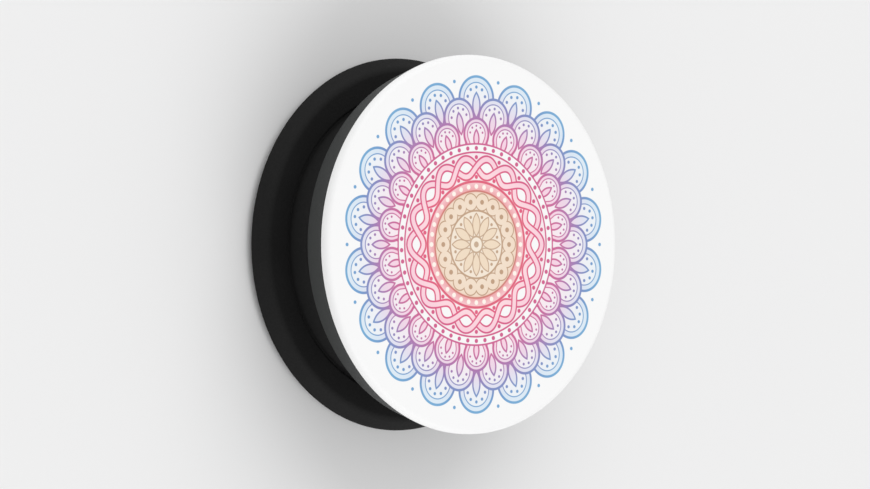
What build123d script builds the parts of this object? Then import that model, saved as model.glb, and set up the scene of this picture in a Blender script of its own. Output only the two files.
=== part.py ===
from build123d import *
import os

os.makedirs("parts", exist_ok=True)

# Collapsible stick-on grip, half open: sticky foot, two-fold accordion and a button that twists off.
# The accordion's axis is Z, the pad's sticky face lies at z = 0, and sizes are millimetres.

# Whole grip
open_gap = 6.6  # from the base up to the skirt's free edge, half open
closed_gap = 0.1  # what is left of it with the grip pushed flat
seat_gap = 0.05  # between pieces that are fitted together
run_gap = 0.06  # radial play of the lock bar in its chamber
swing_gap = 0.25  # beside the lock bar and beside the key post

# Printed disc
top_radius = 19.85
disc_thickness = 1.0
disc_edge = 0.7  # its edge is rounded off in two flats

# Button
skirt_height = 3.6
skirt_inset = 0.95  # the skirt tapers in towards its free edge
skirt_wall = 1.1
plate_thickness = 0.8
chamber_wall = 1.1
slot_plate = 0.9

# Lock key
bar_radius = 6.0
bar_width = 5.0
bar_thickness = 1.2
bar_headroom = 0.15
bar_edge = 0.3
stem_radius = 2.4
plug_radius = 7.6
plug_floor_gap = 0.15  # left under the plug with the grip pushed flat
rim_overhang = 0.7
rim_thickness = 0.6
rim_rise = 0.7

# Base plate
base_radius = 19.85
base_height = 2.4
bevel_width = 1.1  # the base's side leans in over most of its height
bevel_height = 1.3
floor_thickness = 0.6
well_margin = 3.0  # from the base's edge in to the well's wall
lip_overhang = 0.7
lip_thickness = 0.45
post_length = 9.0
post_width = 4.0
post_height = 0.9

# Adhesive pad
pad_margin = 1.3  # the pad stops short of the base's edge
pad_thickness = 0.8

# Accordion
fold_count = 2
panel_thickness = 0.85
hinge_thickness = 0.4
steep_run = 0.75  # how far a steep panel leans in
steep_share = 0.66  # part of each fold's rise that its steep panel takes
collar_wall = 1.3
neck_rise = 0.35  # height of the last hinge on the collar

# Levels, from the sticky face up
floor_z = pad_thickness + floor_thickness
lip_z = base_height - lip_thickness
skirt_z = base_height + open_gap
seam_z = skirt_z + skirt_height
top_z = seam_z + disc_thickness
plate_z = seam_z - plate_thickness
bar_z = seam_z - bar_headroom - bar_thickness
slot_top = bar_z - seat_gap
slot_z = slot_top - slot_plate
plug_top = slot_z - seat_gap
plug_z = floor_z + plug_floor_gap + open_gap - closed_gap
rim_z = plug_z + rim_rise

# Radii worked out from those above
chamber_radius = bar_radius + run_gap
boss_radius = chamber_radius + chamber_wall
skirt_foot_radius = top_radius - skirt_inset
well_radius = base_radius - well_margin
lip_radius = well_radius - lip_overhang
rim_radius = plug_radius + rim_overhang
collar_radius = plug_radius + seat_gap
slot_width = bar_width + 2 * swing_gap

# Adhesive pad: a plain die-cut disc
with BuildPart() as adhesive_pad:
    with BuildSketch():
        Circle(base_radius - pad_margin)
    extrude(amount=pad_thickness)
adhesive_pad.part.label = "adhesive_pad"
export_step(adhesive_pad.part, "parts/adhesive_pad.step")

# Base plate: a low foot with a bevelled side, a well, a lip over the accordion's foot and a key post
with BuildPart() as base_plate:
    with BuildSketch(Plane.XZ):
        with BuildLine():
            Polyline(
                (0, pad_thickness),
                (base_radius, pad_thickness),
                (base_radius, base_height - bevel_height),
                (base_radius - bevel_width, base_height),
                (lip_radius, base_height),
                (lip_radius, lip_z),
                (well_radius, lip_z),
                (well_radius, floor_z),
                (0, floor_z),
                close=True,
            )
        make_face()
    revolve(axis=Axis.Z)
    with BuildSketch(Plane.XY.offset(floor_z)):
        SlotOverall(post_length, post_width)
    extrude(amount=post_height)
base_plate.part.label = "base_plate"
export_step(base_plate.part, "parts/base_plate.step")

# Lock key: a plug with a rim that the collar grips, a stem and a cross bar with round ends
with BuildPart() as lock_key:
    with BuildSketch(Plane.XZ):
        with BuildLine():
            Polyline(
                (0, plug_z),
                (plug_radius, plug_z),
                (plug_radius, rim_z),
                (rim_radius, rim_z),
                (rim_radius, rim_z + rim_thickness),
                (plug_radius, rim_z + rim_thickness),
                (plug_radius, plug_top),
                (stem_radius, plug_top),
                (stem_radius, bar_z),
                (0, bar_z),
                close=True,
            )
        make_face()
    revolve(axis=Axis.Z)
    with BuildSketch(Plane.XY.offset(bar_z)):
        Rectangle(2 * bar_radius, bar_width)
        Circle(bar_radius, mode=Mode.INTERSECT)
    extrude(amount=bar_thickness)
    chamfer(lock_key.faces().sort_by(Axis.Z)[-1].edges(), length=bar_edge)
    # Recess that drops over the base's key post when the grip is pushed flat
    with BuildSketch(Plane.XY.offset(plug_z)):
        SlotOverall(post_length + 2 * swing_gap, post_width + 2 * swing_gap)
    extrude(amount=post_height + swing_gap, mode=Mode.SUBTRACT)
lock_key.part.label = "lock_key"
export_step(lock_key.part, "parts/lock_key.step")

# Button: a shell with a tapered skirt and a central lock chamber, closed from above by the disc
with BuildPart() as button:
    with BuildSketch(Plane.XZ):
        with BuildLine():
            Polyline(
                (0, slot_z),
                (boss_radius, slot_z),
                (boss_radius, plate_z),
                (skirt_foot_radius - skirt_wall, plate_z),
                (skirt_foot_radius - skirt_wall, skirt_z),
                (skirt_foot_radius, skirt_z),
                (top_radius, seam_z),
                (chamber_radius, seam_z),
                (chamber_radius, slot_top),
                (0, slot_top),
                close=True,
            )
        make_face()
    revolve(axis=Axis.Z)
    # Slot that lets the bar through once the button is a quarter turn round
    with BuildSketch(Plane.XY.offset(slot_z)):
        Rectangle(slot_width, 2 * chamber_radius)
        Circle(chamber_radius, mode=Mode.INTERSECT)
    extrude(amount=slot_plate, mode=Mode.SUBTRACT)
    # Stops in two opposite quarters, which end the quarter turn
    with BuildSketch(Plane.XY.offset(slot_top)):
        with Locations((slot_width / 2, slot_width / 2)):
            Rectangle(chamber_radius, chamber_radius, align=(Align.MIN, Align.MIN))
        with Locations((-slot_width / 2, -slot_width / 2)):
            Rectangle(chamber_radius, chamber_radius, align=(Align.MAX, Align.MAX))
        Circle(chamber_radius, mode=Mode.INTERSECT)
    extrude(amount=seam_z - slot_top)
button.part.label = "button"
export_step(button.part, "parts/button.step")

# Printed disc: flat on top, its edge rounded off in two flats that meet on the rounding's arc
flat_step = disc_edge * (1 - 2**-0.5)
with BuildPart() as printed_disc:
    with BuildSketch(Plane.XZ):
        with BuildLine():
            Polyline(
                (0, seam_z),
                (top_radius, seam_z),
                (top_radius, top_z - disc_edge),
                (top_radius - flat_step, top_z - flat_step),
                (top_radius - disc_edge, top_z),
                (0, top_z),
                close=True,
            )
        make_face()
    revolve(axis=Axis.Z)
printed_disc.part.label = "printed_disc"
export_step(printed_disc.part, "parts/printed_disc.step")


# One side of the folded wall, from foot to collar, set off from its hinge line by half a hinge.
# With a swell, the side also stands out halfway along every panel.
def wall_side(hinges, side, swell=None):
    normals = []
    for start, end in zip(hinges, hinges[1:]):
        along = (end - start).normalized()
        normals.append(Vector(along.Y, -along.X) * side)
    points = []
    for index, hinge in enumerate(hinges):
        before = normals[max(index - 1, 0)]
        after = normals[min(index, len(normals) - 1)]
        bisector = (before + after).normalized()
        points.append(hinge + bisector * (hinge_thickness / 2 / bisector.dot(after)))
        if swell and index < len(normals):
            middle = (hinge + hinges[index + 1]) / 2
            points.append(middle + after * swell)
    return points


# Hinge circles from the foot up to the collar, one steep and one shallow panel to a fold
foot_thickness = lip_z - floor_z - seat_gap
foot_hinge = Vector(lip_radius - seat_gap - panel_thickness / 2, floor_z + foot_thickness / 2)
neck_hinge = Vector(collar_radius + collar_wall / 2, plug_z + neck_rise)
fold_rise = (neck_hinge.Y - foot_hinge.Y) / fold_count
shallow_run = (foot_hinge.X - neck_hinge.X) / fold_count - steep_run
hinge_points = [foot_hinge]
for fold in range(fold_count):
    hinge_points.append(hinge_points[-1] + Vector(-steep_run, fold_rise * steep_share))
    hinge_points.append(hinge_points[-1] + Vector(-shallow_run, fold_rise * (1 - steep_share)))
outer_side = wall_side(hinge_points, 1)
inner_side = wall_side(hinge_points, -1, swell=panel_thickness - hinge_thickness / 2)
foot_radius = well_radius - seat_gap
foot_width = foot_radius - inner_side[0].X

# Accordion: one soft moulding, from the trapped foot through its folds to the collar on the plug
with BuildPart() as accordion:
    with BuildSketch(Plane.XZ):
        with BuildLine():
            Polyline(*outer_side, *reversed(inner_side), close=True)
        make_face()
        with Locations((foot_radius, floor_z)):
            Rectangle(foot_width, foot_thickness, align=(Align.MAX, Align.MIN))
        with Locations((collar_radius, plug_z)):
            Rectangle(collar_wall, plug_top - seat_gap - plug_z, align=(Align.MIN, Align.MIN))
        with Locations((collar_radius, rim_z - seat_gap)):
            Rectangle(
                rim_overhang,
                rim_thickness + 2 * seat_gap,
                align=(Align.MIN, Align.MIN),
                mode=Mode.SUBTRACT,
            )
    revolve(axis=Axis.Z)
accordion.part.label = "accordion"
export_step(accordion.part, "parts/accordion.step")
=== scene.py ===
import math

import bmesh
import bpy
from mathutils import Matrix, Vector


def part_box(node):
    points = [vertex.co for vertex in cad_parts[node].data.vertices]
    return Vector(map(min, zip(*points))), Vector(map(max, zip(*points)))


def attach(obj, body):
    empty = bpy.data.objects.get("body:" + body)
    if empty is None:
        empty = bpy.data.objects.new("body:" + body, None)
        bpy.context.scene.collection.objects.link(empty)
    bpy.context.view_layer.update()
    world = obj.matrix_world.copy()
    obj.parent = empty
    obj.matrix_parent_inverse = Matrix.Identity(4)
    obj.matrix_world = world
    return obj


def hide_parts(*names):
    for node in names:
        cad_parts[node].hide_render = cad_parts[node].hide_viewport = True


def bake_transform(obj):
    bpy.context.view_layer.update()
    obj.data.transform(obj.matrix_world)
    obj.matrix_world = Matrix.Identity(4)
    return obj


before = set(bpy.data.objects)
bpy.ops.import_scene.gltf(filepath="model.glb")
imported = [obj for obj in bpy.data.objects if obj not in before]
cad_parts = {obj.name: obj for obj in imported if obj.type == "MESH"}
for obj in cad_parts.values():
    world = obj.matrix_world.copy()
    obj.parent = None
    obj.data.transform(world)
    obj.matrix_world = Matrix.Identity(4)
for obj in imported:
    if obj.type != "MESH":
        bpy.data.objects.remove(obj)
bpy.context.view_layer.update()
mm = 0.001
touching = 1e-6  # metres: corners closer than this are one
print("frame loaded:", ", ".join(sorted(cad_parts)))


# one output socket: sums on wires add Math nodes
class Wire:
    def __init__(self, finish, socket):
        self.finish = finish
        self.socket = socket

    def __add__(self, other):
        return self.finish.math("ADD", self, other)

    def __radd__(self, other):
        return self.finish.math("ADD", other, self)

    def __sub__(self, other):
        return self.finish.math("SUBTRACT", self, other)

    def __rsub__(self, other):
        return self.finish.math("SUBTRACT", other, self)

    def __mul__(self, other):
        return self.finish.math("MULTIPLY", self, other)

    def __rmul__(self, other):
        return self.finish.math("MULTIPLY", other, self)

    def __truediv__(self, other):
        return self.finish.math("DIVIDE", self, other)

    def __rtruediv__(self, other):
        return self.finish.math("DIVIDE", other, self)

    def __abs__(self):
        return self.finish.math("ABSOLUTE", self)


# one material: node() makes any node, the others are short names for those used most
class Finish:
    def __init__(self, name, fixed):
        self.material = bpy.data.materials.new(name)
        self.material.use_nodes = True
        self.tree = self.material.node_tree
        self.shader = self.tree.nodes["Principled BSDF"]
        for socket, value in fixed.items():
            self.paint(socket, value)

    def feed(self, socket, value):
        if isinstance(value, Wire):
            self.tree.links.new(value.socket, socket)
        else:
            socket.default_value = value

    def paint(self, socket, value):
        self.feed(self.shader.inputs[socket], value)

    def node(self, kind, settings=None, sockets=None, out=0):
        made = self.tree.nodes.new(kind)
        for name, value in (settings or {}).items():
            if name == "stops":
                self.setStops(made.color_ramp, value)
            else:
                setattr(made, name, value)
        for name, value in (sockets or {}).items():
            self.feed(made.inputs[name], value)
        return Wire(self, made.outputs[out])

    def setStops(self, ramp, stops):
        while len(ramp.elements) < len(stops):
            ramp.elements.new(1)
        for element, (place, colour) in zip(ramp.elements, stops):
            element.position = place
            element.color = colour

    def math(self, operation, *values):
        return self.node("ShaderNodeMath", {"operation": operation}, dict(enumerate(values)))

    def clamp(self, value):
        return self.node("ShaderNodeClamp", None, {"Value": value})

    def length(self, across, along):
        return self.math("SQRT", across * across + along * along)

    # a Mix node's colours are its inputs 6 and 7 and its output 2
    def mix(self, share, a, b):
        return self.node("ShaderNodeMix", {"data_type": "RGBA"}, {0: share, 6: a, 7: b}, 2)

    def ramp(self, value, stops):
        return self.node("ShaderNodeValToRGB", {"stops": stops}, {"Fac": value})

    def place(self):
        return self.node("ShaderNodeTexCoord", None, None, "Object")

    def axes(self, place):
        split = self.node("ShaderNodeSeparateXYZ", None, {"Vector": place}).socket.node
        return [Wire(self, output) for output in split.outputs]

    def noise(self, place, size):
        return self.node("ShaderNodeTexNoise", None, {"Vector": place, "Scale": 1 / (size * mm)})

    def cells(self, place, size):
        return self.node("ShaderNodeTexVoronoi", None, {"Vector": place, "Scale": 1 / (size * mm)})

    def bump(self, height, depth):
        relief = self.node("ShaderNodeBump", None, {"Height": height, "Distance": depth * mm})
        self.paint("Normal", relief)


# screen levels 0-255 to the linear colour that sockets take
def tint(red, green, blue):
    levels = [level / 255 for level in (red, green, blue)]
    return [c / 12.92 if c <= 0.04045 else ((c + 0.055) / 1.055) ** 2.4 for c in levels] + [1]


# turns a closed outline round Z: corners are (radius, height, rounding) in millimetres
def turnOutline(corners, steps=192, segments=5):
    bm = bmesh.new()
    verts = [bm.verts.new((radius * mm, 0, height * mm)) for radius, height, rounding in corners]
    bm.faces.new(verts)
    for vert, (radius, height, rounding) in zip(verts, corners):
        if rounding:
            bmesh.ops.bevel(
                bm, geom=[vert], offset=rounding * mm, offset_type="OFFSET", affect="VERTICES",
                segments=segments, profile=0.5, material=-1,
            )
    bmesh.ops.delete(bm, geom=bm.faces[:], context="FACES_ONLY")
    onAxis = [edge for edge in bm.edges if all(vert.co.x < touching for vert in edge.verts)]
    bmesh.ops.delete(bm, geom=onAxis, context="EDGES")
    bmesh.ops.spin(
        bm, geom=bm.verts[:] + bm.edges[:], cent=(0, 0, 0), axis=(0, 0, 1), angle=2 * math.pi,
        steps=steps, use_merge=True,
    )
    return bm


# pushes a flat face up into a block
def pushUp(bm, face, height):
    grown = bmesh.ops.extrude_face_region(bm, geom=[face])["geom"]
    moved = [item for item in grown if isinstance(item, bmesh.types.BMVert)]
    bmesh.ops.translate(bm, verts=moved, vec=(0, 0, height * mm))


# closes a bmesh into a piece, shaded smooth with the flats kept even
def makePiece(name, bm, finish):
    bmesh.ops.remove_doubles(bm, verts=bm.verts, dist=touching)
    bmesh.ops.recalc_face_normals(bm, faces=bm.faces)
    for face in bm.faces:
        face.smooth = True
    mesh = bpy.data.meshes.new(name)
    bm.to_mesh(mesh)
    bm.free()
    mesh.materials.append(finish.material)
    piece = bpy.data.objects.new(name, mesh)
    bpy.context.scene.collection.objects.link(piece)
    even = piece.modifiers.new("evenFlats", "WEIGHTED_NORMAL")
    even.weight = 100  # the largest faces set the shading
    print("made", name, "with", len(mesh.polygons), "faces")
    return piece


# white disc: hard satin plastic, printed on top
discLow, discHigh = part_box("printed_disc")
disc = {
    "radius": discHigh.x / mm,
    "bottom": discLow.z / mm,
    "top": discHigh.z / mm,
    "edge": 0.7,  # rounding of the upper edge
    "seam": 0.08,  # broken lower edge, shows as a fine line above the skirt
    "edgeSteps": 10,
    "white": tint(248, 248, 248),
    "shade": tint(238, 239, 240),
    "cloud": 6.0,  # size of the faint unevenness in the white
    "cloudTone": 0.05,
    "cloudRough": 0.1,
    "rough": 0.38,
    "inkRough": -0.06,  # ink is a little smoother and glossier than the bare white
    "ior": 1.45,
    "coat": 0.06,
    "inkCoat": 0.1,
    "coatRough": 0.12,
    "peel": 1.6,  # size of the moulding's ripple
    "peelRise": 0.5,
    "inkRise": 0.6,
    "relief": 0.006,  # how far ripple and ink stand up
    "printDepth": 0.2,  # how far down the edge the print's plane reaches
}

# print: widths are shares of the disc's radius, tones go by the reach from its centre
inks = {
    "soft": 0.0024,  # fade of an ink edge
    "hair": 0.006,
    "thin": 0.0095,
    "bold": 0.0135,
    "pale": 0.4,  # strength of a pale field
    "cream": tint(255, 246, 236),
    "fill": [
        (0.0, tint(247, 234, 216)), (0.27, tint(241, 219, 197)), (0.29, tint(238, 168, 172)),
        (0.35, tint(253, 216, 223)), (0.48, tint(249, 205, 219)), (0.58, tint(246, 212, 230)),
        (0.66, tint(236, 213, 230)), (0.74, tint(227, 224, 239)), (0.82, tint(217, 230, 243)),
        (0.9, tint(222, 236, 246)),
    ],
    "line": [
        (0.0, tint(198, 170, 142)), (0.27, tint(188, 150, 118)), (0.29, tint(220, 98, 108)),
        (0.36, tint(226, 84, 124)), (0.48, tint(212, 82, 132)), (0.58, tint(200, 100, 154)),
        (0.66, tint(172, 112, 172)), (0.74, tint(132, 130, 188)), (0.82, tint(106, 152, 204)),
        (0.9, tint(112, 172, 214)),
    ],
}


# shapes are distances from their outline, negative inside
class Print(Finish):
    def __init__(self, name, fixed):
        super().__init__(name, fixed)
        x, y, self.height = self.axes(self.place())
        x = x / (disc["radius"] * mm)
        y = y / (disc["radius"] * mm)
        self.reach = self.length(x, y)  # 0 at the centre, 1 at the disc's edge
        self.heading = self.math("ARCTAN2", x, y)
        self.fillTone = self.ramp(self.reach, inks["fill"])
        self.lineTone = self.ramp(self.reach, inks["line"])
        self.paleTone = self.mix(inks["pale"], disc["white"], self.fillTone)
        self.colour = disc["white"]
        self.inked = None

    # across and along the middle line of the nearest of count sectors
    def sector(self, count, half=False):
        shifted = self.heading + math.pi / count if half else self.heading
        angle = self.math("PINGPONG", shifted, math.pi / count)
        return self.reach * self.math("SINE", angle), self.reach * self.math("COSINE", angle)

    def ring(self, middle, half):
        return abs(self.reach - middle) - half

    def dot(self, spot, along, size, across=0.0):
        return self.length(spot[0] - across, spot[1] - along) - size

    # pointed at both ends
    def leaf(self, spot, inner, outer, width):
        half = (outer - inner) / 2
        arc = (half * half + width * width / 4) / width
        return self.length(spot[0] + (arc - width / 2), spot[1] - (inner + outer) / 2) - arc

    # round at both ends, where waist and tip are its half widths
    def petal(self, spot, foot, outer, waist, tip):
        rise = outer - tip - foot
        lean = (waist - tip) / rise
        along = spot[1] - foot
        share = self.clamp(along / rise - spot[0] * (lean / math.sqrt(1 - lean * lean) / rise))
        return self.length(spot[0], along - share * rise) - (waist + share * (tip - waist))

    def within(self, distance):
        return self.clamp(0.5 - distance / inks["soft"])

    def stroke(self, distance, width):
        return self.clamp((width / 2 - abs(distance)) / inks["soft"] + 0.5)

    def fill(self, mask, tone=None):
        self.colour = self.mix(mask, self.colour, tone or self.fillTone)

    def draw(self, mask):
        self.colour = self.mix(mask, self.colour, self.lineTone)
        self.inked = self.math("MAXIMUM", self.inked, mask) if self.inked else mask


# rows of round petals, back row first, each half a petal round from the row behind it
petals = {
    "count": 18,
    "waist": 0.03,
    "rows": [
        {"foot": 0.56, "reach": 0.885, "tip": 0.116},
        {"foot": 0.50, "reach": 0.775, "tip": 0.100},
        {"foot": 0.46, "reach": 0.665, "tip": 0.083},
    ],
    "contour": 0.27,  # this and the next five are shares of the tip
    "fan": 0.52,
    "fanDot": 0.075,
    "seedTop": 0.27,
    "seedLength": 1.15,
    "seedWidth": 0.42,
    "fanAngles": [math.radians(angle) for angle in (0, 40, 80)],
    "gapReach": 0.868,
    "gapDot": 0.0095,
}


def drawPetals(ink):
    gaps = ink.sector(petals["count"], half=True)
    ink.draw(ink.within(ink.dot(gaps, petals["gapReach"], petals["gapDot"])))
    for index, row in enumerate(petals["rows"]):
        tip = row["tip"]
        centre = row["reach"] - tip
        spot = ink.sector(petals["count"], half=index % 2 == 1)
        edge = ink.petal(spot, row["foot"], row["reach"], petals["waist"], tip)
        contour = edge + petals["contour"] * tip
        ink.fill(ink.within(edge))
        ink.draw(ink.stroke(edge, inks["bold"]))
        ink.fill(ink.within(contour), ink.paleTone)
        ink.draw(ink.stroke(contour, inks["hair"]))
        for angle in petals["fanAngles"]:
            across = petals["fan"] * tip * math.sin(angle)
            along = centre + petals["fan"] * tip * math.cos(angle)
            ink.draw(ink.within(ink.dot(spot, along, petals["fanDot"] * tip, across)))
        top = centre + petals["seedTop"] * tip
        seed = ink.leaf(spot, top - petals["seedLength"] * tip, top, petals["seedWidth"] * tip)
        ink.fill(ink.within(seed))
        ink.draw(ink.stroke(seed, inks["thin"]))


# bead ring over the petals' feet and the braid's edge
beads = {"middle": 0.508, "half": 0.022, "count": 54, "size": 0.0115}


def drawBeads(ink):
    ring = ink.ring(beads["middle"], beads["half"])
    ink.fill(ink.within(ring), disc["white"])
    ink.draw(ink.stroke(ring, inks["thin"]))
    dots = ink.dot(ink.sector(beads["count"]), beads["middle"], beads["size"])
    ink.draw(ink.within(dots))


# two strands that pass over and under each other, with dots beside each crossing
braid = {
    "middle": 0.408,
    "swing": 0.047,
    "turns": 9,
    "strand": 0.034,
    "half": 0.078,  # half width of the band that holds the strands
    "dotAway": 0.052,
    "dotSize": 0.011,
}


def drawBraid(ink):
    middle = braid["middle"]
    ink.fill(ink.within(ink.ring(middle, braid["half"])), ink.paleTone)
    wave = ink.heading * braid["turns"]
    side = ink.math("SINE", wave) * braid["swing"]
    slope = ink.math("COSINE", wave) * (braid["swing"] * braid["turns"]) / ink.reach
    steep = ink.math("SQRT", slope * slope + 1)
    away = ink.reach - middle
    ink.fill(ink.within(abs(away) - abs(side)), disc["white"])  # between the strands
    first = abs((away - side) / steep) - braid["strand"] / 2
    second = abs((away + side) / steep) - braid["strand"] / 2
    firstOver = ink.clamp(slope / inks["soft"])  # the first strand is on top where it runs outwards
    for strand, shown in ((first, 1), (second, 1), (first, firstOver)):
        ink.fill(ink.within(strand) * shown)
        ink.draw(ink.stroke(strand, inks["thin"]) * shown)
    crossings = ink.sector(2 * braid["turns"])
    for along in (middle - braid["dotAway"], middle + braid["dotAway"]):
        ink.draw(ink.within(ink.dot(crossings, along, braid["dotSize"])))


# coral band with cream dots
coral = {"middle": 0.306, "half": 0.026, "count": 36, "size": 0.0125}


def drawCoral(ink):
    ring = ink.ring(coral["middle"], coral["half"])
    ink.fill(ink.within(ring))
    ink.draw(ink.stroke(ring, inks["bold"]))
    dots = ink.dot(ink.sector(coral["count"]), coral["middle"], coral["size"])
    ink.fill(ink.within(dots), inks["cream"])


# gold middle: hoops linked in a ring round a daisy
gold = {
    "edge": 0.277,
    "hoopCount": 18,
    "hoopMiddle": 0.226,
    "hoopSize": 0.045,
    "hoopDot": 0.013,
    "field": 0.178,
    "fieldTone": tint(244, 230, 212),
    "leafCount": 12,
    "leafInner": 0.045,
    "leafOuter": 0.165,
    "leafWidth": 0.05,
    "leafTone": tint(240, 219, 193),
    "grainReach": 0.148,
    "grainSize": 0.0085,
    "hub": 0.042,
    "hubTone": tint(246, 234, 216),
    "pip": 0.016,
}


def drawGold(ink):
    ink.fill(ink.within(ink.reach - gold["edge"]))
    hoops = ink.sector(gold["hoopCount"], half=True)
    ink.draw(ink.stroke(ink.dot(hoops, gold["hoopMiddle"], gold["hoopSize"]), inks["hair"]))
    ink.draw(ink.within(ink.dot(hoops, gold["hoopMiddle"], gold["hoopDot"])))
    ink.fill(ink.within(ink.reach - gold["field"]), gold["fieldTone"])
    ink.draw(ink.stroke(ink.reach - gold["field"], inks["thin"]))
    leaves = ink.sector(gold["leafCount"])
    daisy = ink.leaf(leaves, gold["leafInner"], gold["leafOuter"], gold["leafWidth"])
    ink.fill(ink.within(daisy), gold["leafTone"])
    ink.draw(ink.stroke(daisy, inks["hair"]))
    between = ink.sector(gold["leafCount"], half=True)
    ink.draw(ink.within(ink.dot(between, gold["grainReach"], gold["grainSize"])))
    ink.fill(ink.within(ink.reach - gold["hub"]), gold["hubTone"])
    ink.draw(ink.stroke(ink.reach - gold["hub"], inks["thin"]))
    ink.draw(ink.within(ink.reach - gold["pip"]))


def printFinish():
    ink = Print("printedWhite", {"Coat Roughness": disc["coatRough"], "IOR": disc["ior"]})
    for drawRing in (drawPetals, drawBraid, drawBeads, drawCoral, drawGold):
        drawRing(ink)
    onTop = ink.clamp((ink.height / mm - disc["top"]) / disc["printDepth"] + 1)
    place = ink.place()
    cloud = ink.noise(place, disc["cloud"])
    colour = ink.mix(onTop, disc["white"], ink.colour)
    ink.paint("Base Color", ink.mix(cloud * disc["cloudTone"], colour, disc["shade"]))
    inked = ink.inked * onTop
    ink.paint("Roughness", disc["rough"] + cloud * disc["cloudRough"] + inked * disc["inkRough"])
    ink.paint("Coat Weight", disc["coat"] + inked * disc["inkCoat"])
    ripple = ink.noise(place, disc["peel"])
    ink.bump(ripple * disc["peelRise"] + inked * disc["inkRise"], disc["relief"])
    return ink


discPiece = makePiece(
    "white_disc",
    turnOutline([
        (0, disc["bottom"], 0),
        (disc["radius"], disc["bottom"], disc["seam"]),
        (disc["radius"], disc["top"], disc["edge"]),
        (0, disc["top"], 0),
    ], segments=disc["edgeSteps"]),
    printFinish(),
)
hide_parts("printed_disc")
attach(discPiece, "top")

# moulded plastics: clouds and pits in the tone, pits and fine grain in the surface
moulding = {
    "cloud": 4.0,  # size in millimetres
    "cloudTone": 0.7,
    "pitTone": 0.5,
    "cloudRough": 0.06,
    "fineRough": 0.08,
    "fine": 0.6,  # size as a share of the pits'
    "pitRise": 0.7,
    "fineRise": 0.5,
}


def mouldedFinish(name, tone, lift, rough, grain, depth, specular=0.5):
    plastic = Finish(name, {"Specular IOR Level": specular})
    place = plastic.place()
    cloud = plastic.noise(place, moulding["cloud"])
    pits = plastic.cells(place, grain)
    fine = plastic.noise(place, grain * moulding["fine"])
    shade = plastic.clamp(cloud * moulding["cloudTone"] + pits * moulding["pitTone"])
    plastic.paint("Base Color", plastic.mix(shade, tone, lift))
    uneven = (cloud - 0.5) * moulding["cloudRough"] + (fine - 0.5) * moulding["fineRough"]
    plastic.paint("Roughness", uneven + rough)
    plastic.bump(pits * moulding["pitRise"] + fine * moulding["fineRise"], depth)
    return plastic


# button: dark satin shell under the disc
buttonLow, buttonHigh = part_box("button")
button = {
    "radius": buttonHigh.x / mm,
    "bottom": buttonLow.z / mm,
    "seam": buttonHigh.z / mm,
    "inset": 0.95,  # the skirt tapers in towards its free edge
    "wall": 1.1,
    "plate": 0.8,
    "bossDrop": 2.3,  # from the seam down to the boss's foot
    "bossWall": 1.1,
    "bore": 6.06,
    "slotPlate": 0.9,
    "slotWidth": 5.5,
    "sunk": 0.1,  # how far the lock's ribs reach into what carries them
    "ribSteps": 96,  # sides of the circle that the ribs are cut from
    "broken": 0.1,  # roundings, from the finest up
    "bossEdge": 0.15,
    "innerEdge": 0.2,
    "bossRoot": 0.3,
    "outerEdge": 0.35,
    "skirtRoot": 0.45,
    "finish": {
        "name": "satinDark", "tone": tint(25, 28, 27), "lift": tint(35, 38, 37),
        "rough": 0.46, "grain": 0.22, "depth": 0.006, "specular": 0.3,
    },
}


def buttonShell():
    foot = button["radius"] - button["inset"]
    inner = foot - button["wall"]
    boss = button["bore"] + button["bossWall"]
    under = button["seam"] - button["plate"]
    bossFoot = button["seam"] - button["bossDrop"]
    bm = turnOutline([
        (button["bore"], bossFoot, button["broken"]),
        (boss, bossFoot, button["bossEdge"]),
        (boss, under, button["bossRoot"]),
        (inner, under, button["skirtRoot"]),
        (inner, button["bottom"], button["innerEdge"]),
        (foot, button["bottom"], button["outerEdge"]),
        (button["radius"], button["seam"], button["broken"]),
        (button["bore"], button["seam"], 0),
    ])
    # lock ribs: two plates beside the slot, two stops on top of them
    half = button["slotWidth"] / 2 * mm
    plateTop = bossFoot + button["slotPlate"]
    for turned in (0, math.pi):
        spin = Matrix.Rotation(turned, 4, "Z")
        for level, top, cuts in (
            (bossFoot, plateTop, [(1, 0, 0)]),
            (plateTop - button["sunk"], button["seam"], [(1, 0, 0), (0, 1, 0)]),
        ):
            rim = bmesh.ops.create_circle(
                bm, cap_ends=True, segments=button["ribSteps"],
                radius=(button["bore"] + button["sunk"]) * mm,
                matrix=Matrix.Translation((0, 0, level * mm)),
            )["verts"]
            for away in cuts:
                face = rim[0].link_faces[0]
                parts = [face, *face.edges, *face.verts]
                bmesh.ops.bisect_plane(
                    bm, geom=parts, plane_co=Vector(away) * half, plane_no=away, clear_inner=True,
                )
                rim = [vert for vert in rim if vert.is_valid]
            face = rim[0].link_faces[0]
            bmesh.ops.rotate(bm, verts=face.verts[:], cent=(0, 0, 0), matrix=spin)
            pushUp(bm, face, top - level)
    return bm


buttonFinish = mouldedFinish(**button["finish"])
buttonPiece = makePiece("button_shell", buttonShell(), buttonFinish)
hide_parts("button")
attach(buttonPiece, "top")

# base: matt black foot with a bevelled side, a well and a key post
baseLow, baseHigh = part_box("base_plate")
base = {
    "radius": baseHigh.x / mm,
    "bottom": baseLow.z / mm,
    "top": baseHigh.z / mm,
    "bevelWidth": 1.1,
    "bevelHeight": 1.3,
    "floor": 0.6,
    "wellMargin": 3.0,
    "lipReach": 0.7,
    "lip": 0.45,
    "postLength": 9.0,
    "postWidth": 4.0,
    "postHeight": 0.9,
    "postSteps": 48,  # sides of the circle that the post is drawn out from
    "sunk": 0.1,  # how far the post reaches into the floor
    "broken": 0.1,  # roundings, from the finest up
    "mouthEdge": 0.18,
    "sideEdge": 0.35,
    "topEdge": 0.45,
    "finish": {
        "name": "mattBlack", "tone": tint(27, 27, 27), "lift": tint(35, 35, 35),
        "rough": 0.62, "grain": 0.26, "depth": 0.016, "specular": 0.08,
    },
}


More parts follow.
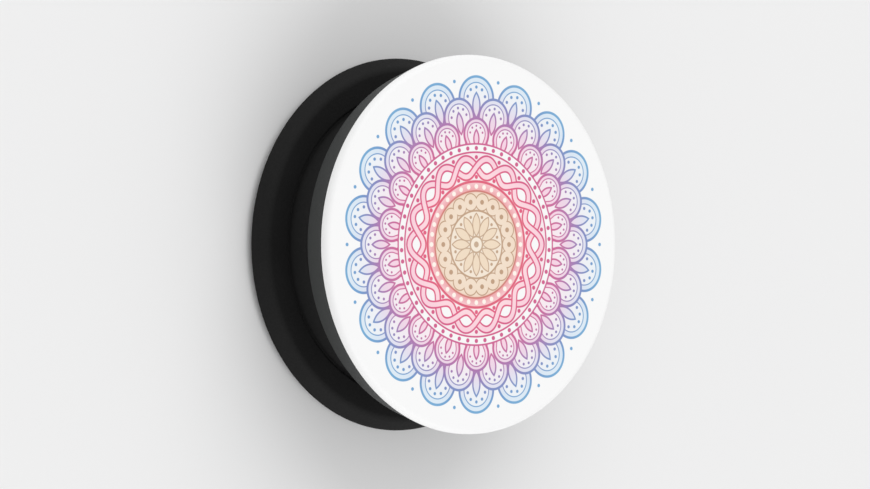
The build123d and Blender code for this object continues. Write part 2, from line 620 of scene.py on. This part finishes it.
def basePlate():
    well = base["radius"] - base["wellMargin"]
    mouth = well - base["lipReach"]
    floor = base["bottom"] + base["floor"]
    under = base["top"] - base["lip"]
    bm = turnOutline([
        (0, base["bottom"], 0),
        (base["radius"], base["bottom"], base["broken"]),
        (base["radius"], base["top"] - base["bevelHeight"], base["sideEdge"]),
        (base["radius"] - base["bevelWidth"], base["top"], base["topEdge"]),
        (mouth, base["top"], base["mouthEdge"]),
        (mouth, under, base["broken"]),
        (well, under, 0),
        (well, floor, base["broken"]),
        (0, floor, 0),
    ])
    end = base["postWidth"] / 2
    shift = (base["postLength"] / 2 - end) * mm
    root = floor - base["sunk"]
    rim = bmesh.ops.create_circle(
        bm, cap_ends=True, segments=base["postSteps"], radius=end * mm,
        matrix=Matrix.Translation((0, 0, root * mm)),
    )["verts"]
    for side in (-1, 1):
        ends = [vert for vert in rim if vert.co.x * side > 0]
        bmesh.ops.translate(bm, verts=ends, vec=(side * shift, 0, 0))
    pushUp(bm, rim[0].link_faces[0], base["postHeight"] + base["sunk"])
    return bm


baseFinish = mouldedFinish(**base["finish"])
basePiece = makePiece("base_foot", basePlate(), baseFinish)
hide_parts("base_plate")
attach(basePiece, "base")

# accordion: one soft moulding, folds rounded at their hinges
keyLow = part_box("lock_key")[0]
foldLow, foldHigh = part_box("accordion")
accordion = {
    "folds": 2,
    "panel": 0.85,
    "hinge": 0.4,
    "steepRun": 0.75,
    "steepShare": 0.66,
    "footRadius": foldHigh.x / mm,
    "footBottom": foldLow.z / mm,
    "footHeight": 0.5,
    "footReach": 1.125,  # from the foot's edge in to the wall's middle
    "collarTop": foldHigh.z / mm,
    "collarBottom": keyLow.z / mm,
    "collarBore": 7.65,
    "collarWall": 1.3,
    "neckRise": 0.35,
    "grooveRadius": 8.35,
    "grooveRise": 0.65,  # this and the stretch's end are heights above the collar's lower end
    "grooveHeight": 0.7,
    "stretchRise": 0.75,
    "broken": 0.1,  # roundings, from the finest up
    "footEdge": 0.15,
    "shoulder": 0.3,
    "finish": {
        "name": "softBlack", "tone": tint(29, 29, 29), "lift": tint(37, 37, 37),
        "rough": 0.58, "grain": 0.4, "depth": 0.006, "specular": 0.12,
    },
}


# hinges of the folded wall, from the foot up to the collar
def wallHinges():
    foot = Vector((
        accordion["footRadius"] - accordion["footReach"],
        accordion["footBottom"] + accordion["footHeight"] / 2,
    ))
    neck = Vector((
        accordion["collarBore"] + accordion["collarWall"] / 2,
        accordion["collarBottom"] + accordion["neckRise"],
    ))
    fold = (neck - foot) / accordion["folds"]
    steep = Vector((-accordion["steepRun"], fold.y * accordion["steepShare"]))
    hinges = [foot]
    for index in range(accordion["folds"]):
        hinges.append(hinges[-1] + steep)
        hinges.append(foot + fold * (index + 1))
    return hinges


# one side of the wall, set off by half a hinge, standing out by swell halfway along each panel
def wallSide(hinges, side, swell=None):
    ways = [(end - start).normalized() for start, end in zip(hinges, hinges[1:])]
    normals = [Vector((way.y, -way.x)) * side for way in ways]
    points = []
    for index, hinge in enumerate(hinges):
        before = normals[max(index - 1, 0)]
        after = normals[min(index, len(normals) - 1)]
        between = (before + after).normalized()
        points.append(hinge + between * (accordion["hinge"] / 2 / between.dot(after)))
        if swell and index < len(normals):
            points.append((hinge + hinges[index + 1]) / 2 + after * swell)
    return points


def accordionBellows():
    bore = accordion["collarBore"]
    collar = bore + accordion["collarWall"]
    collarTop = accordion["collarTop"]
    collarBottom = accordion["collarBottom"]
    groove = accordion["grooveRadius"]
    grooveBottom = collarBottom + accordion["grooveRise"]
    grooveTop = grooveBottom + accordion["grooveHeight"]
    footRadius = accordion["footRadius"]
    footBottom = accordion["footBottom"]
    footTop = footBottom + accordion["footHeight"]
    hinges = wallHinges()
    outer = wallSide(hinges, 1)
    inner = wallSide(hinges, -1, accordion["panel"] - accordion["hinge"] / 2)
    # where the wall leaves the foot and meets the collar
    footJoin = outer[0].lerp(outer[1], (footTop - outer[0].y) / (outer[1].y - outer[0].y))
    neckJoin = outer[-2].lerp(outer[-1], (collar - outer[-2].x) / (outer[-1].x - outer[-2].x))
    collarJoin = inner[-2].lerp(inner[-1], (collarBottom - inner[-2].y) / (inner[-1].y - inner[-2].y))
    broken = accordion["broken"]
    footEdge = accordion["footEdge"]
    shoulder = accordion["shoulder"]
    return turnOutline([
        (footRadius, footBottom, 0),
        (footRadius, footTop, broken),
        (footJoin.x, footJoin.y, footEdge),
        *[(point.x, point.y, shoulder) for point in outer[1:-1]],
        (neckJoin.x, neckJoin.y, shoulder),
        (collar, collarTop, footEdge),
        (bore, collarTop, broken),
        (bore, grooveTop, 0),
        (groove, grooveTop, 0),
        (groove, grooveBottom, 0),
        (bore, grooveBottom, 0),
        (bore, collarBottom, broken),
        (collarJoin.x, collarJoin.y, 0),
        *[(point.x, point.y, shoulder) for point in reversed(inner[1:-1])],
        (inner[0].x, inner[0].y, 0),
        (inner[0].x, footBottom, 0),
    ])


accordionFinish = mouldedFinish(**accordion["finish"])
accordionPiece = makePiece("bellows", accordionBellows(), accordionFinish)
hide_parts("accordion")
(accordion["footBottom"] + accordion["footHeight"]) * mm
(accordion["collarBottom"] + accordion["stretchRise"]) * mm
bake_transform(accordionPiece)

# adhesive pad: dark gel
padLow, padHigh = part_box("adhesive_pad")
pad = {
    "radius": padHigh.x / mm,
    "bottom": padLow.z / mm,
    "top": padHigh.z / mm,
    "edge": 0.08,
    "finish": {
        "name": "darkGel", "tone": tint(38, 38, 40), "lift": tint(52, 52, 54),
        "rough": 0.3, "grain": 0.5, "depth": 0.01,
    },
}
padPiece = makePiece(
    "gel_pad",
    turnOutline([
        (0, pad["bottom"], 0),
        (pad["radius"], pad["bottom"], pad["edge"]),
        (pad["radius"], pad["top"], pad["edge"]),
        (0, pad["top"], 0),
    ]),
    mouldedFinish(**pad["finish"]),
)
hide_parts("adhesive_pad")
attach(padPiece, "base")

# lock key: keeps its shape, in black nylon
key = {
    "finish": {
        "name": "blackNylon", "tone": tint(32, 32, 33), "lift": tint(44, 44, 45),
        "rough": 0.45, "grain": 0.3, "depth": 0.006,
    },
}
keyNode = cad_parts["lock_key"]
keyNode.data.materials.clear()
keyNode.data.materials.append(mouldedFinish(**key["finish"]).material)
print("finished lock_key in", key["finish"]["name"])

# stage: pale floor, broad lamps towards the print's top and foot, and even fill
stage = {
    "floorSize": 6.0,
    "floorTone": tint(238, 238, 238),
    "floorShade": tint(232, 232, 233),
    "floorCloud": 40.0,
    "floorCloudTone": 0.3,
    "floorRough": 0.8,
    "floorSpecular": 0.2,
    "lampWays": {"upperLamp": Vector((0, 1, 0.7)), "lowerLamp": Vector((0, -1, 0.7))},
    "lampAway": 1.4,
    "lampSize": 1.6,
    "lampPower": 9.5,
    "fill": 0.6,
}
floorBm = bmesh.new()
bmesh.ops.create_grid(floorBm, x_segments=1, y_segments=1, size=stage["floorSize"] / 2)
floorMesh = bpy.data.meshes.new("floor")
floorBm.to_mesh(floorMesh)
floorBm.free()
floorFinish = Finish("paleFloor", {
    "Roughness": stage["floorRough"],
    "Specular IOR Level": stage["floorSpecular"],
})
floorCloud = floorFinish.noise(floorFinish.place(), stage["floorCloud"]) * stage["floorCloudTone"]
floorFinish.paint("Base Color", floorFinish.mix(floorCloud, stage["floorTone"], stage["floorShade"]))
floorMesh.materials.append(floorFinish.material)
floor = bpy.data.objects.new("floor", floorMesh)
bpy.context.scene.collection.objects.link(floor)

for name, way in stage["lampWays"].items():
    lampData = bpy.data.lights.new(name, "AREA")
    lampData.shape = "DISK"
    lampData.size = stage["lampSize"]
    lampData.energy = stage["lampPower"]
    lamp = bpy.data.objects.new(name, lampData)
    lamp.location = way.normalized() * stage["lampAway"]
    lamp.rotation_euler = way.to_track_quat("Z", "Y").to_euler()
    bpy.context.scene.collection.objects.link(lamp)

world = bpy.data.worlds.new("studio")
world.use_nodes = True
background = world.node_tree.nodes["Background"]
background.inputs["Color"].default_value = (1, 1, 1, 1)
background.inputs["Strength"].default_value = stage["fill"]
bpy.context.scene.world = world
bpy.context.scene.view_settings.view_transform = "Standard"

# camera: from the left, tilted off the grip's axis, top of the print upwards
view = {
    "tilt": math.radians(39.5),
    "away": 0.46,
    "aim": Vector((0, 0, 0.0068)),
    "lens": 180.0,
    "sensor": 36.0,
    "nearest": 0.01,
}
back = Vector((-math.sin(view["tilt"]), 0, math.cos(view["tilt"])))
right = Vector((math.cos(view["tilt"]), 0, math.sin(view["tilt"])))
cameraData = bpy.data.cameras.new("camera")
cameraData.lens = view["lens"]
cameraData.sensor_width = view["sensor"]
cameraData.clip_start = view["nearest"]
camera = bpy.data.objects.new("camera", cameraData)
turned = Matrix((right, Vector((0, 1, 0)), back)).transposed().to_4x4()
camera.matrix_world = Matrix.Translation(view["aim"] + back * view["away"]) @ turned
bpy.context.scene.collection.objects.link(camera)
bpy.context.scene.camera = camera
print("stage, light and camera set")
